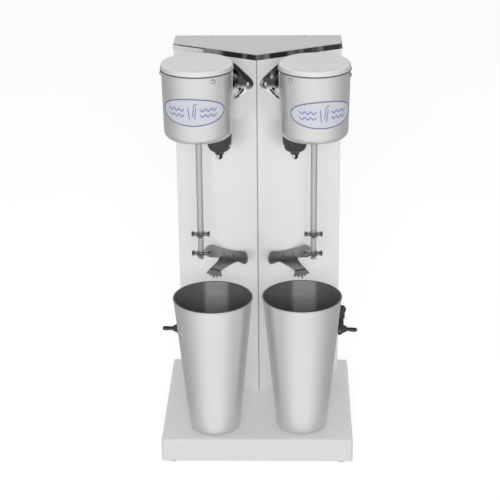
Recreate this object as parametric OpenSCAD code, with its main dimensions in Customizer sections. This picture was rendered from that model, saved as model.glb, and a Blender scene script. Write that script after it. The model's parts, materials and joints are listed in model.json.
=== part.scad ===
// Double-head milkshake mixer.
// Frame: origin at the centre of the base's footprint, on the table. +Z up, the front
// faces -Y, +X is the user's right. Millimetres.

/* [Base] */
// Width of the base
base_w = 240; // [230:1:260]
// Depth of the base
base_d = 230; // [225:1:250]
// Height of the base pan without its feet
base_h = 30; // [26:1:40]
// Height of the rubber feet
foot_h = 5; // [4:0.5:8]
// Thickness of the folded steel sheet
sheet = 1; // [0.8:0.1:1.2]

/* [Column] */
// Half of the column's width
col_half = 105.5; // [104:0.5:108]
// Depth of the column's flat sides
col_side = 40; // [38:1:44]
// Distance from the back to the ridge of the V front
col_ridge = 95; // [90:1:98]
// Height from the base top to the top of the cap
col_h = 459.5; // [450:0.5:480]
// Height of the cap's rim
cap_rim = 7; // [5:0.5:10]
// Outward step from the column to the cap's rim
cap_step = 1.3; // [1.3:0.1:2]

/* [Motor heads] */
// Distance of the neck's centre from the ridge, along the panel
neck_along = 41; // [40:0.5:44]
// Distance from the panel to the spindle axis
head_reach = 73.5; // [72:0.5:76]
// Height of the neck's centre above the base top
neck_up = 422; // [419:1:425]
// Radius of the shell at its rim
shell_top_r = 43.4; // [43:0.1:44]
// Radius of the shell above its rounded bottom edge
shell_low_r = 41.5; // [41:0.1:42.5]
// Height of the shell
shell_h = 84; // [84:1:88]
// Radius of the shell's rounded bottom edge
shell_edge_r = 9; // [6:0.5:10]
// Height of the lid above the shell
lid_h = 9.2; // [8:0.1:10]
// Radius of the lid's lower edge
lid_r = 44.4; // [44.2:0.1:45]

/* [Agitator] */
// Radius of the agitator rod
rod_r = 4; // [3.8:0.1:4.2]
// Height of the rod's lower end above the base top
rod_end_up = 209; // [205:1:212]
// Height of the lower mixing disc above the base top
disc_low_up = 216.5; // [214:0.5:220]
// Distance between the two mixing discs
disc_gap = 26; // [22:1:30]
// Radius of the mixing discs
disc_r = 11.6; // [10:0.1:13]

/* [Cup rest] */
// Height of the tongue's underside above the base top
rest_up = 182.5; // [176:0.5:188]
// Half of the band's width
rest_half = 32; // [30:0.5:34]
// Height of the band's rounded ends
rest_end_h = 16.6; // [15:0.2:18]
// Thickness of the steel of the rest
rest_t = 1.5; // [1.2:0.1:2]

/* [Cups] */
// Height of a cup
cup_h = 178.5; // [170:0.5:185]
// Radius of a cup's rim
cup_rim_r = 49; // [47:0.5:50]
// Radius of a cup's foot
cup_foot_r = 31.6; // [30:0.2:33]
// Thickness of a cup's wall
cup_t = 0.8; // [0.6:0.1:1.2]

/* [Cup switch] */
// Distance of the switch lever from the spindle axis
switch_back = 50; // [49.5:0.5:51]
// Height of the lever's pivot above the base top
switch_up = 346; // [345:0.5:347]
// Radius of the switch housing
switch_r = 15.5; // [15:0.1:16]

/* [Toggle switches and cord] */
// Distance of the toggle switches from the back
toggle_in = 24; // [22:0.5:26]
// Height of the toggle switches above the base top
toggle_up = 57.5; // [54:0.5:58]
// Downward tilt of the right toggle lever, in degrees
toggle_tilt = 5; // [0:1:12]
// Height of the cord's entry above the base top
gland_up = 80; // [79:1:84]
// Radius of the power cord
cord_r = 3.3; // [2.8:0.1:3.6]

/* [Hidden] */
$fn = 72;
fit = 0.05;          // running clearance on radius
touch = 0.02;        // clearance between parts that sit together
base_top = foot_h + base_h;
back_y = base_d / 2;
ridge_y = back_y - col_ridge;
panel_slope = (col_ridge - col_side) / col_half;
panel_turn = atan(panel_slope);
cap_top = base_top + col_h;
head_x = neck_along * cos(panel_turn) + head_reach * sin(panel_turn);
head_y = ridge_y + neck_along * sin(panel_turn) - head_reach * cos(panel_turn);
neck_z = base_top + neck_up;
pan_edge_r = 3.5;
flange_w = 20;
foot_x = base_w / 2 - 14;
foot_y = base_d / 2 - 13.5;
foot_r = 7;
screw_r = 2;
screw_head_r = 3.8;
screw_head_h = 2.2;
nut_h = 3.2;
nut_r = 4.05;        // corner radius of an M4 nut

// Neck: a horn of revolution on a two-bolt flange
flange_t = 3;
flange_r = 25;
lug_r = 8;
lug_at = 28.7;
stem_r = 18;
flare_r = flange_r - stem_r;
leg_out = 16;
leg_r = 11.5;
leg_z = base_top + 369.5;

// Head, from the floor of the shell upwards
shell_z = neck_z - 51;
rim_z = shell_z + shell_h;
lid_z = rim_z + lid_h;
nose_r = 12;
skirt_r = shell_top_r - 1.4;
lid_screw_z = rim_z - 5;
low_disc_z = shell_z + 1;
stack_z = shell_z + 30;
stack_h = 22;
stack_r = 31;
bore_r = 15.6;
bolt_ring_r = 28.5;
post_r = 4.5;
top_disc_z = stack_z + stack_h + 17;
shaft_r = 4;
tail_r = 3;
stub_r = 2.5;
ball_bearing = [11, 7];       // outer radius and width of the lower bearing
tail_bearing = [9.5, 6];      // outer radius and width of the upper bearing

// Left and right heads differ only in how their lids and badges are turned
lid_turn = [29, -43];
badge_turn = [-6, 15];
badge_z = [base_top + 413, base_top + 409.5];
badge_half_w = 37;
badge_half_h = 17.6;

pivot_z = base_top + switch_up;
ball_r = 12.5;
lever_r = 4;
lever_tip_z = base_top + 325.5;

toggle_y = back_y - toggle_in;
toggle_z = base_top + toggle_up;
toggle_pivot = 3;             // pivot's distance outside the side panel
toggle_ball_r = 7.2;
toggle_pin_r = 0.75;
gland_y = back_y - 11;
gland_z = base_top + gland_up;
gland_out = 5.5;              // centre of the cord outside the side panel

cup_x = [-54, 56];
cup_y = [-74.5, -71];

steel = "gainsboro";
polished = "silver";
rubber = "dimgray";

// ---------- frames and helpers ----------

// Right-hand parts are drawn as they are, left-hand parts are their mirror image
module on_side(side) {
    if (side < 0) mirror([1, 0, 0]) children();
    else children();
}

// Frame on the front panel: origin at the ridge, +X along the panel, -Y out of it
module on_panel(side) {
    on_side(side) translate([0, ridge_y, 0]) rotate([0, 0, panel_turn]) children();
}

// Frame on the spindle axis: +Y towards the panel
module on_head(side) {
    on_panel(side) translate([neck_along, -head_reach, 0]) children();
}

module both_heads() {
    for (side = [-1, 1]) on_head(side) children();
}

// Cylinder along Y from y0 to y1
module y_rod(r, y0, y1) {
    translate([0, y1, 0]) rotate([90, 0, 0]) cylinder(r = r, h = y1 - y0);
}

// Cylinder along X from x0 to x1
module x_rod(r, x0, x1) {
    translate([x0, 0, 0]) rotate([0, 90, 0]) cylinder(r = r, h = x1 - x0);
}

// Cylinder along Z from z0 to z1
module z_rod(r, z0, z1) {
    translate([0, 0, z0]) cylinder(r = r, h = z1 - z0);
}

module ring(r_in, r_out, z0, z1) {
    difference() {
        z_rod(r_out, z0, z1);
        z_rod(r_in, z0 - 1, z1 + 1);
    }
}

module rounded_rect(w, d, r) {
    square([w - 2 * r, d], center = true);
    square([w, d - 2 * r], center = true);
    for (x = [-1, 1], y = [-1, 1]) translate([x * (w / 2 - r), y * (d / 2 - r)]) circle(r = r);
}

// Rectangle of width w and height h on the X axis, with its top corners rounded
module arched_rect(w, h, r) {
    translate([-w / 2, 0]) square([w, h - r]);
    translate([r - w / 2, 0]) square([w - 2 * r, h]);
    for (x = [-1, 1]) translate([x * (w / 2 - r), h - r]) circle(r = r);
}

// Box with rounded upright and top edges, standing on z = 0
module folded_box(w, d, h, r) {
    intersection() {
        linear_extrude(h) rounded_rect(w, d, r);
        rotate([90, 0, 0]) translate([0, 0, -d]) linear_extrude(2 * d) arched_rect(w, h, r);
        rotate([90, 0, 90]) translate([0, 0, -w]) linear_extrude(2 * w) arched_rect(d, h, r);
    }
}

// Pan-head screw along -Z: underside of the head at z = 0
module pan_screw(r, length, head_r = screw_head_r, head_h = screw_head_h) {
    z_rod(r, -length, 0.01);
    rotate_extrude() intersection() {
        translate([0, head_h - head_dome(head_r, head_h)]) circle(r = head_dome(head_r, head_h));
        square([head_r, head_h]);
    }
}

function head_dome(head_r, head_h) = (head_r * head_r + head_h * head_h) / (1.6 * head_h);

module nut(corner_r, bore, z0, h) {
    difference() {
        translate([0, 0, z0]) cylinder(r = corner_r, h = h, $fn = 6);
        z_rod(bore, z0 - 1, z0 + h + 1);
    }
}

// Plan outline of the column moved inwards by inset, with its back edge at y = back
function v_plan(inset, back) = let (
        half = col_half - inset,
        ridge = ridge_y + inset / cos(panel_turn))
    [[-half, back], [-half, ridge + panel_slope * half], [0, ridge],
     [half, ridge + panel_slope * half], [half, back]];

// Points where the feet stand
module at_feet() {
    for (x = [-foot_x, foot_x], y = [-foot_y, foot_y]) translate([x, y, 0]) children();
}

// Points where the column is screwed to the base
module at_column_fixings() {
    for (x = [-1, 1]) {
        translate([x * (col_half - 8.5), back_y - 20, 0]) children();
        translate([x * 50, back_y - 9, 0]) children();
    }
}

// Points where the back cover is screwed on, with +Y outwards
module at_back_screws() {
    for (x = [-1, 1], z = [base_top + 35, base_top + col_h / 2, base_top + col_h - 35])
        translate([x * (col_half - 7), back_y, z]) children();
}

module at_cap_screws() {
    for (x = [-1, 1]) translate([x * 60, back_y + cap_step, cap_top - 4]) children();
}

// ---------- base ----------

module base_pan() {
    color(steel) difference() {
        union() {
            difference() {
                translate([0, 0, foot_h]) folded_box(base_w, base_d, base_h, pan_edge_r);
                translate([0, 0, foot_h - 1])
                    folded_box(base_w - 2 * sheet, base_d - 2 * sheet, base_h - sheet + 1,
                        pan_edge_r - sheet);
            }
            translate([0, 0, foot_h]) linear_extrude(sheet) difference() {
                rounded_rect(base_w - sheet, base_d - sheet, pan_edge_r - sheet / 2);
                square([base_w - 2 * flange_w, base_d - 2 * flange_w], center = true);
            }
        }
        at_feet() z_rod(screw_r + 0.2, 0, 12);
        at_column_fixings() z_rod(screw_r + 0.2, base_top - 5, base_top + 5);
    }
}

module base_plate() {
    z = foot_h + sheet;
    slot_l = 46;
    color(steel) difference() {
        translate([0, 0, z]) linear_extrude(sheet) difference() {
            square([base_w - 2 * sheet - 2, base_d - 2 * sheet - 2], center = true);
            for (i = [-3, -2, -1, 1, 2, 3]) translate([i * 14, 0]) {
                square([4, slot_l], center = true);
                for (y = [-1, 1]) translate([0, y * slot_l / 2]) circle(r = 2);
            }
        }
        at_feet() z_rod(screw_r + 0.2, 0, 12);
    }
}

// Four screwed feet, and a plain pad bonded under the middle of the base
module feet() {
    color(rubber) {
        at_feet() rotate_extrude() difference() {
            polygon([[0, 0], [foot_r - 1, 0], [foot_r - 0.4, 0.6], [foot_r, foot_h - 0.8],
                [foot_r - 0.8, foot_h], [0, foot_h]]);
            square([screw_r + 0.2, foot_h * 3], center = false);
            square([screw_head_r + 0.4, foot_h - 2]);
        }
        z_rod(foot_r, 0, foot_h + sheet);
    }
}

module foot_screws() {
    color(polished) at_feet() {
        translate([0, 0, foot_h - 2]) mirror([0, 0, 1]) pan_screw(screw_r, 10);
        nut(nut_r, screw_r + touch, foot_h + 2 * sheet, nut_h);
    }
}

// ---------- column ----------

// Holes through the two front panels
module panel_holes() {
    for (side = [-1, 1]) on_panel(side) {
        for (dx = [-1, 1]) {
            translate([neck_along + dx * lug_at, 0, neck_z]) y_rod(2.6, -5, 5);
            translate([neck_along + dx * 8, 0, base_top + rest_up + 6]) y_rod(2.6, -5, 5);
        }
        translate([neck_along, 0, neck_z]) y_rod(8, -5, 5);
    }
}

module side_holes() {
    for (side = [-1, 1]) on_side(side)
        translate([0, toggle_y, toggle_z]) x_rod(6.1, col_half - 5, col_half + 5);
    translate([0, gland_y, gland_z]) x_rod(5.1, col_half - 5, col_half + 5);
}

module column_front() {
    tab = 12;
    wall_top = cap_top - sheet;
    color(steel) difference() {
        union() {
            translate([0, 0, base_top]) linear_extrude(wall_top - base_top) {
                difference() {
                    polygon(v_plan(0, back_y - sheet));
                    polygon(v_plan(sheet, back_y + sheet));
                }
                for (x = [-1, 1]) translate([x * (col_half - tab / 2 - sheet / 2), back_y - 1.5 * sheet])
                    square([tab + sheet, sheet], center = true);
            }
            for (x = [-1, 1])
                translate([x * (col_half - 8) - 7.5, back_y - 28, base_top]) cube([15, 16, sheet]);
        }
        panel_holes();
        side_holes();
        at_back_screws() y_rod(screw_r + touch, -8, 1);
        at_column_fixings() z_rod(screw_r + 0.2, base_top - 1, base_top + 3);
    }
}

module column_back() {
    color(steel) difference() {
        union() {
            translate([-col_half, back_y - sheet, base_top]) cube([2 * col_half, sheet, col_h - sheet]);
            translate([-80, back_y - 15, base_top]) cube([160, 15, sheet]);
        }
        at_back_screws() y_rod(screw_r + 0.2, -3, 1);
        at_cap_screws() y_rod(screw_r + touch, -8, 1);
        at_column_fixings() z_rod(screw_r + 0.2, base_top - 1, base_top + 3);
    }
}

module top_cap() {
    color(polished) difference() {
        translate([0, 0, cap_top - cap_rim]) linear_extrude(cap_rim)
            polygon(v_plan(-cap_step, back_y + cap_step));
        translate([0, 0, cap_top - cap_rim - 1]) linear_extrude(cap_rim + 1 - sheet)
            polygon(v_plan(sheet - cap_step, back_y + cap_step - sheet));
        at_cap_screws() y_rod(screw_r + 0.2, -3, 1);
    }
}

module case_screws() {
    color(polished) {
        at_back_screws() rotate([-90, 0, 0]) pan_screw(screw_r, 7);
        at_cap_screws() rotate([-90, 0, 0]) pan_screw(screw_r, 6);
        at_column_fixings() {
            translate([0, 0, base_top - sheet]) mirror([0, 0, 1]) pan_screw(screw_r, 8);
            nut(nut_r, screw_r + touch, base_top + sheet, nut_h);
        }
    }
}

// ---------- cup rests ----------

rest_z = base_top + rest_up;
rest_bow_r = 60;              // radius of the band, seen from above
waist_h = 12.4;
tongue_out = 38;
tongue_half = 7.7;
root_half = 18;
tongue_drop = 3.5;            // slope of the tongue, in degrees
lip_drop = 50;                // slope of the lip, in degrees

// Front outline of the band: two round ends joined by a waist
module band_outline() {
    end_r = rest_end_h / 2;
    span = rest_half - end_r;
    rise = rest_end_h - waist_h;
    dip_r = (span * span + rise * rise) / (2 * rise);
    for (x = [-1, 1]) translate([x * span, end_r]) circle(r = end_r);
    difference() {
        translate([-span, 0]) square([2 * span, rest_end_h]);
        translate([0, waist_h + dip_r]) circle(r = dip_r, $fn = 180);
    }
}

// Tongue seen from above, narrowing on two arcs to the crease
module tongue_outline() {
    reach = tongue_out - 2.2;
    sweep = root_half - tongue_half;
    arc_r = (sweep * sweep + reach * reach) / (2 * sweep);
    difference() {
        translate([-root_half, -tongue_out]) square([2 * root_half, reach]);
        for (x = [-1, 1]) translate([x * (tongue_half + arc_r), -tongue_out])
            circle(r = arc_r, $fn = 180);
    }
}

// Lip beyond the crease, ending in a fan of five teeth with the longest in the middle
module lip_outline() {
    half = 11.3;
    long = 6;
    step = 2 * half / 5;
    tooth = [1.2, 3.4, 5.6, 3.4, 1.2];
    polygon(concat([[tongue_half, 0], [half, -long]],
        [for (i = [0:4]) each [
            [half - (i + 0.5) * step, -long - tooth[i]],
            [half - (i + 1) * step, -long + (i < 4 ? -0.6 : 0)]]],
        [[-tongue_half, 0]]));
}

module cup_rest(side) {
    color(polished) on_panel(side) translate([neck_along, 0, rest_z]) difference() {
        union() {
            intersection() {
                translate([0, -rest_bow_r, -1]) difference() {
                    cylinder(r = rest_bow_r, h = rest_end_h + 2, $fn = 180);
                    translate([0, 0, -1]) cylinder(r = rest_bow_r - rest_t, h = rest_end_h + 4, $fn = 180);
                }
                rotate([90, 0, 0]) linear_extrude(30) band_outline();
            }
            rotate([tongue_drop, 0, 0]) {
                linear_extrude(rest_t) tongue_outline();
                translate([0, -tongue_out + 0.6, 0.1]) rotate([lip_drop, 0, 0])
                    linear_extrude(rest_t) lip_outline();
            }
            for (dx = [-8, 8]) translate([dx, 0, 6]) {
                y_rod(4.5, -1.2, 0);
                y_rod(2.5, -1.2, 8);
            }
        }
    }
}

module rest_nuts() {
    color(polished) for (side = [-1, 1]) on_panel(side)
        for (dx = [-8, 8]) translate([neck_along + dx, sheet, rest_z + 6])
            rotate([-90, 0, 0]) nut(4.6, 2.5 + touch, 0, 4);
}

// ---------- necks ----------

// Flange outline: a round centre with two lugs, joined by their tangents
module lug_outline() {
    lean = acos((flange_r - lug_r) / lug_at);
    circle(r = flange_r);
    for (m = [0, 1]) mirror([m, 0]) {
        translate([lug_at, 0]) circle(r = lug_r);
        polygon([[flange_r * cos(lean), flange_r * sin(lean)],
            [lug_at + lug_r * cos(lean), lug_r * sin(lean)],
            [lug_at + lug_r * cos(lean), -lug_r * sin(lean)],
            [flange_r * cos(lean), -flange_r * sin(lean)]]);
    }
}

// Solid of revolution with the outer shape of a head shell, grown by gap
module shell_solid(gap) {
    rotate_extrude() {
        polygon([[0, shell_z - gap], [shell_low_r - shell_edge_r, shell_z - gap],
            [shell_low_r + gap, shell_z + shell_edge_r], [shell_top_r + gap, rim_z],
            [shell_top_r + gap, rim_z + 5 * gap], [0, rim_z + 5 * gap]]);
        intersection() {
            translate([shell_low_r - shell_edge_r, shell_z + shell_edge_r])
                circle(r = shell_edge_r + gap);
            translate([0, shell_z - gap]) square([shell_low_r + gap, shell_edge_r + gap]);
        }
    }
}

module neck(side) {
    stem_end = head_reach - shell_low_r + 12;
    collar_r = 21;
    color(polished) difference() {
        on_panel(side) translate([neck_along, 0, neck_z]) {
            rotate([90, 0, 0]) linear_extrude(flange_t) lug_outline();
            rotate([90, 0, 0]) rotate_extrude() difference() {
                union() {
                    square([flange_r, flange_t + flare_r]);
                    square([stem_r, stem_end]);
                    translate([0, stem_end - 15]) square([collar_r, 15]);
                }
                translate([flange_r, flange_t + flare_r]) circle(r = flare_r);
            }
            translate([0, -leg_out, leg_z - neck_z]) cylinder(r = leg_r, h = neck_z - leg_z);
        }
        on_head(side) shell_solid(0.15);
        on_panel(side) translate([neck_along, 0, neck_z]) {
            y_rod(7, -stem_end - 1, 1);
            translate([0, -leg_out, leg_z - neck_z - 1]) cylinder(r = 4, h = neck_z - leg_z);
            for (x = [-1, 1]) translate([x * lug_at, 0, 0]) y_rod(2.6, -5, 1);
        }
    }
}

module neck_bolts() {
    color(polished) for (side = [-1, 1], dx = [-1, 1]) on_panel(side)
        translate([neck_along + dx * lug_at, 0, neck_z]) rotate([90, 0, 0]) {
            translate([0, 0, flange_t]) pan_screw(2.5, 12, 3.6, 2.4);
            nut(4.6, 2.5 + touch, -sheet - 4, 4);
        }
}

// ---------- head casings ----------

module head_shell(side) {
    wall = 1;
    color(steel) on_head(side) difference() {
        shell_solid(0);
        rotate_extrude() {
            inner_r = shell_low_r - wall;
            polygon([[0, shell_z + wall], [shell_low_r - shell_edge_r, shell_z + wall],
                [inner_r, shell_z + shell_edge_r], [shell_top_r - wall, rim_z],
                [shell_top_r - wall, rim_z + 1], [0, rim_z + 1]]);
            intersection() {
                translate([shell_low_r - shell_edge_r, shell_z + shell_edge_r])
                    circle(r = shell_edge_r - wall);
                square([inner_r, shell_z + shell_edge_r]);
            }
        }
        z_rod(nose_r + 0.15, shell_z - 1, shell_z + 3);
        translate([0, 0, neck_z]) y_rod(8, 30, 50);
        at_lid_screws(side) y_rod(1.6, -6, 6);
    }
}

// Points on the shell's wall where the lid is screwed, with -Y outwards
module at_lid_screws(side) {
    turn = lid_turn[side < 0 ? 0 : 1];
    for (k = [0:2])
        rotate([0, 0, side * turn - panel_turn + 120 * k])
            translate([0, -shell_top_r, lid_screw_z]) children();
}

module head_lid(side) {
    wall = 1;
    corner_r = 4.7;
    side_r = lid_r - 0.7;
    color(steel) on_head(side) difference() {
        rotate_extrude() {
            difference() {
                union() {
                    polygon([[0, rim_z + touch], [lid_r, rim_z + touch], [side_r, lid_z - corner_r],
                        [side_r - corner_r, lid_z], [0, lid_z]]);
                    translate([side_r - corner_r, lid_z - corner_r]) circle(r = corner_r);
                }
                polygon([[0, rim_z - 1], [skirt_r - wall, rim_z - 1], [skirt_r - wall, rim_z + wall],
                    [lid_r - wall, rim_z + wall], [side_r - wall, lid_z - corner_r],
                    [side_r - corner_r, lid_z - wall], [0, lid_z - wall]]);
                translate([side_r - corner_r, lid_z - corner_r]) circle(r = corner_r - wall);
            }
            translate([skirt_r - wall, rim_z - 12]) square([wall, 12.5]);
        }
        at_lid_screws(side) y_rod(1.5 + touch, -6, 6);
    }
}

module lid_screws() {
    color(polished) for (side = [-1, 1]) on_head(side) at_lid_screws(side)
        translate([0, -0.05, 0]) rotate([90, 0, 0]) pan_screw(1.5, 5, 2.8, 1.8);
}

module badge(side) {
    i = side < 0 ? 0 : 1;
    z = badge_z[i];
    taper = (shell_top_r - shell_low_r) / (shell_h - shell_edge_r);
    low_z = z - 20;
    low_r = shell_low_r + taper * (low_z - shell_z - shell_edge_r);
    color("ghostwhite") on_head(side) rotate([0, 0, side * badge_turn[i] - panel_turn]) intersection() {
        rotate_extrude() polygon([[low_r + 0.05, low_z], [low_r + 0.55, low_z],
            [low_r + 40 * taper + 0.55, low_z + 40], [low_r + 40 * taper + 0.05, low_z + 40]]);
        translate([0, 0, z]) rotate([90, 0, 0]) linear_extrude(60)
            polygon([for (t = [0:5:355]) [badge_half_w * cos(t), badge_half_h * sin(t)]]);
    }
}

// ---------- motors ----------

module at_bolts() {
    for (k = [0:3]) rotate([0, 0, 45 + 90 * k]) translate([bolt_ring_r, 0, 0]) children();
}

// Sector of a ring between two angles
module sector(r_in, r_out, z0, z1, from, to) {
    rotate([0, 0, from]) translate([0, 0, z0]) rotate_extrude(angle = to - from)
        translate([r_in, 0]) square([r_out - r_in, z1 - z0]);
}

module stator_cores() {
    color("slategray") both_heads() difference() {
        z_rod(stack_r, stack_z, stack_z + stack_h);
        z_rod(bore_r, stack_z - 1, stack_z + stack_h + 1);
        for (k = [0, 180]) sector(17, 25, stack_z - 1, stack_z + stack_h + 1, 56 + k, 124 + k);
        at_bolts() z_rod(2.1, stack_z - 1, stack_z + stack_h + 1);
    }
}

module field_coils() {
    z0 = stack_z - 5.5;
    z1 = stack_z + stack_h + 5.5;
    end_h = 5.2;
    color("chocolate") both_heads() for (k = [0, 180]) difference() {
        sector(17.6, 23.8, z0, z1, k - 88, k + 88);
        sector(17, 25, z0 + end_h, z1 - end_h, k - 58, k + 58);
    }
}

module lower_brackets() {
    seat_z = low_disc_z + 4;
    color("lightgray") both_heads() difference() {
        union() {
            z_rod(32, low_disc_z, seat_z);
            z_rod(14.5, low_disc_z, seat_z + ball_bearing[1] + 0.5);
            z_rod(nose_r, shell_z - 5, low_disc_z + 1);
            at_bolts() z_rod(post_r, seat_z - 1, stack_z - touch);
        }
        z_rod(ball_bearing[0] + touch, seat_z, seat_z + 20);
        z_rod(shaft_r + 0.6, shell_z - 6, seat_z + 1);
        at_bolts() z_rod(2.05, low_disc_z + 2, stack_z + 1);
    }
}

module upper_brackets() {
    hub_h = 10;
    color("lightgray") both_heads() difference() {
        union() {
            z_rod(33, top_disc_z, top_disc_z + 3);
            z_rod(13, top_disc_z, top_disc_z + hub_h);
            at_bolts() z_rod(post_r, stack_z + stack_h + touch, top_disc_z + 1);
        }
        z_rod(tail_bearing[0] + touch, top_disc_z + 3, top_disc_z + hub_h + 1);
        z_rod(5, top_disc_z - 1, top_disc_z + hub_h);
        at_bolts() z_rod(2.1, stack_z, top_disc_z + 4);
    }
}

module motor_bolts() {
    color(polished) both_heads() at_bolts() translate([0, 0, top_disc_z + 3])
        pan_screw(2, top_disc_z - low_disc_z, 3.6, 2);
}

module motor_bearings() {
    color("silver") both_heads() {
        ring(shaft_r + fit, ball_bearing[0], low_disc_z + 4.2, low_disc_z + 4.2 + ball_bearing[1]);
        ring(tail_r + fit, tail_bearing[0], top_disc_z + 3.2, top_disc_z + 3.2 + tail_bearing[1]);
    }
}

comm_z = stack_z + stack_h + 8;
comm_r = 9;

module motor_brushes() {
    color("darkgoldenrod") both_heads() for (m = [0, 1]) mirror([m, 0, 0]) {
        translate([comm_r + 0.1, -2.5, comm_z + 1.5]) cube([9, 5, 5]);
        difference() {
            translate([13, -4, comm_z]) cube([12, 8, 9 - touch]);
            translate([12, -2.6, comm_z + 1.4]) cube([12, 5.2, 5.2]);
        }
    }
}

module nose_nuts() {
    notch = 3;
    color(polished) both_heads() difference() {
        z_rod(15.5, shell_z - 4.2, shell_z - touch);
        z_rod(nose_r + touch, shell_z - 6, shell_z + 1);
        for (k = [0:5]) rotate([0, 0, 60 * k]) translate([15.5, 0, shell_z - 6]) cylinder(r = notch / 2, h = 8);
    }
}

module armature(side) {
    slots = 12;
    color("peru") on_head(side) {
        difference() {
            union() {
                z_rod(bore_r - 0.6, stack_z, stack_z + stack_h);
                z_rod(12.6, stack_z - 6, stack_z + stack_h + 6);
            }
            z_rod(shaft_r + touch, stack_z - 7, stack_z + stack_h + 7);
            for (k = [0:slots - 1]) rotate([0, 0, 360 / slots * k])
                translate([bore_r, 0, stack_z - 1]) cylinder(r = 1.4, h = stack_h + 2, $fn = 24);
        }
        ring(shaft_r + touch, comm_r, comm_z, comm_z + 8);
    }
}

module motor_shaft(side) {
    color("silver") on_head(side) {
        z_rod(shaft_r, shell_z - 1, top_disc_z + 2);
        z_rod(tail_r, top_disc_z, top_disc_z + 11);
        z_rod(stub_r, shell_z - 12, shell_z);
    }
}

module fan(side) {
    z0 = low_disc_z + 13.5;
    color("darkslategray") on_head(side) difference() {
        union() {
            z_rod(22, z0, z0 + 1.2);
            z_rod(7, z0, z0 + 8);
            for (k = [0:8]) rotate([0, 0, 40 * k]) translate([6, -0.6, z0 + 1]) cube([15.5, 1.2, 6.5]);
        }
        z_rod(shaft_r + touch, z0 - 1, z0 + 9);
    }
}

// ---------- agitators ----------

thin_rod_r = 3.5;
disc_low_z = base_top + disc_low_up;
disc_top_z = disc_low_z + disc_gap;
disc_t = 1.2;
disc_waves = 5;
disc_wave = 1.9;              // height of the crimps at the disc's rim

module agitator_rod(side) {
    step_z = disc_top_z + 5;
    top_z = shell_z - 1 - touch;
    color(polished) on_head(side) difference() {
        union() {
            z_rod(rod_r, step_z, top_z);
            z_rod(thin_rod_r, base_top + rod_end_up + 1, step_z + 1);
            translate([0, 0, base_top + rod_end_up]) cylinder(r1 = thin_rod_r - 1, r2 = thin_rod_r, h = 1);
        }
        z_rod(stub_r + touch, shell_z - 13, shell_z + 1);
    }
}

// Point of a crimped disc at angle a and radius r, on its lower or upper face
function crimp(a, r, z) = [r * cos(a), r * sin(a),
    z + disc_wave * sin(disc_waves * a) * pow((r - thin_rod_r) / (disc_r - thin_rod_r), 0.8)];

module crimped_disc(z) {
    n = 30;
    radii = [thin_rod_r + touch, 8, disc_r];
    rows = len(radii);
    low = [for (k = [0:n - 1], r = radii) crimp(360 / n * k, r, z - disc_t / 2)];
    high = [for (k = [0:n - 1], r = radii) crimp(360 / n * k, r, z + disc_t / 2)];
    top = n * rows;
    function at(k, j) = (k % n) * rows + j;
    faces = [for (k = [0:n - 1]) each concat(
        [for (j = [0:rows - 2]) each [
            [at(k, j), at(k, j + 1), at(k + 1, j + 1)],
            [at(k, j), at(k + 1, j + 1), at(k + 1, j)],
            [top + at(k, j), top + at(k + 1, j + 1), top + at(k, j + 1)],
            [top + at(k, j), top + at(k + 1, j), top + at(k + 1, j + 1)]]],
        [[at(k, rows - 1), top + at(k, rows - 1), top + at(k + 1, rows - 1)],
         [at(k, rows - 1), top + at(k + 1, rows - 1), at(k + 1, rows - 1)],
         [at(k, 0), top + at(k + 1, 0), top + at(k, 0)],
         [at(k, 0), at(k + 1, 0), top + at(k + 1, 0)]])];
    polyhedron(points = concat(low, high), faces = faces);
}

module agitator_discs(side) {
    color(polished) on_head(side) {
        crimped_disc(disc_low_z);
        crimped_disc(disc_top_z);
        for (z = [disc_low_z, disc_top_z]) ring(thin_rod_r + touch, 5, z + disc_t / 2 + 0.05, z + 3);
    }
}

// ---------- cup switches ----------

module switch_housing(side) {
    low_z = pivot_z - 3;
    color(rubber) difference() {
        union() {
            on_head(side) translate([0, switch_back, 0]) rotate_extrude()
                polygon([[0, low_z], [switch_r - 1.2, low_z], [switch_r, low_z + 1.2],
                    [switch_r, leg_z - 1.5], [switch_r - 1.5, leg_z], [0, leg_z]]);
            on_panel(side) translate([neck_along, -leg_out, 0]) z_rod(leg_r, leg_z - 6, leg_z);
        }
        on_head(side) translate([0, switch_back, 0]) {
            z_rod(13.3, pivot_z + 4, leg_z - 2);
            translate([0, 0, pivot_z]) {
                sphere(r = ball_r + 0.2);
                x_rod(1.25 + touch, -15.2, 15.2);
            }
        }
        on_panel(side) translate([neck_along, -leg_out, 0]) z_rod(4, leg_z - 4, leg_z + 1);
    }
}

module micro_switches() {
    color("black") both_heads() translate([0, switch_back, pivot_z]) {
        translate([-5, -11.5, 5]) cube([10, 6, 15]);
        translate([0, 0, 10]) y_rod(1.2, -5.8, -5.1);
    }
}

module switch_pins() {
    color(polished) {
        both_heads() translate([0, switch_back, pivot_z]) x_rod(1.25, -15, 15);
        for (side = [-1, 1]) at_toggle(side) translate([toggle_pivot, 0, 0])
            y_rod(toggle_pin_r, -8, 8);
    }
}

module cup_lever(side) {
    color("black") on_head(side) translate([0, switch_back, 0]) difference() {
        union() {
            z_rod(lever_r, lever_tip_z + lever_r, pivot_z + 4);
            translate([0, 0, lever_tip_z + lever_r]) sphere(r = lever_r);
            z_rod(2.5, pivot_z, pivot_z + 12);
        }
        translate([0, 0, pivot_z]) x_rod(1.25 + fit, -6, 6);
    }
}

module lever_boot(side) {
    color(rubber) on_head(side) translate([0, switch_back, pivot_z]) difference() {
        rotate_extrude() intersection() {
            union() {
                circle(r = ball_r);
                translate([0, -13.2]) square([5.4, 4.2]);
            }
            translate([0, -20]) square([ball_r, 20.8]);
        }
        z_rod(lever_r + touch, -20, 20);
        x_rod(1.25 + 2 * fit, -15, 15);
    }
}

// ---------- toggle switches ----------

module at_toggle(side) {
    on_side(side) translate([col_half, toggle_y, toggle_z]) children();
}

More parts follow.
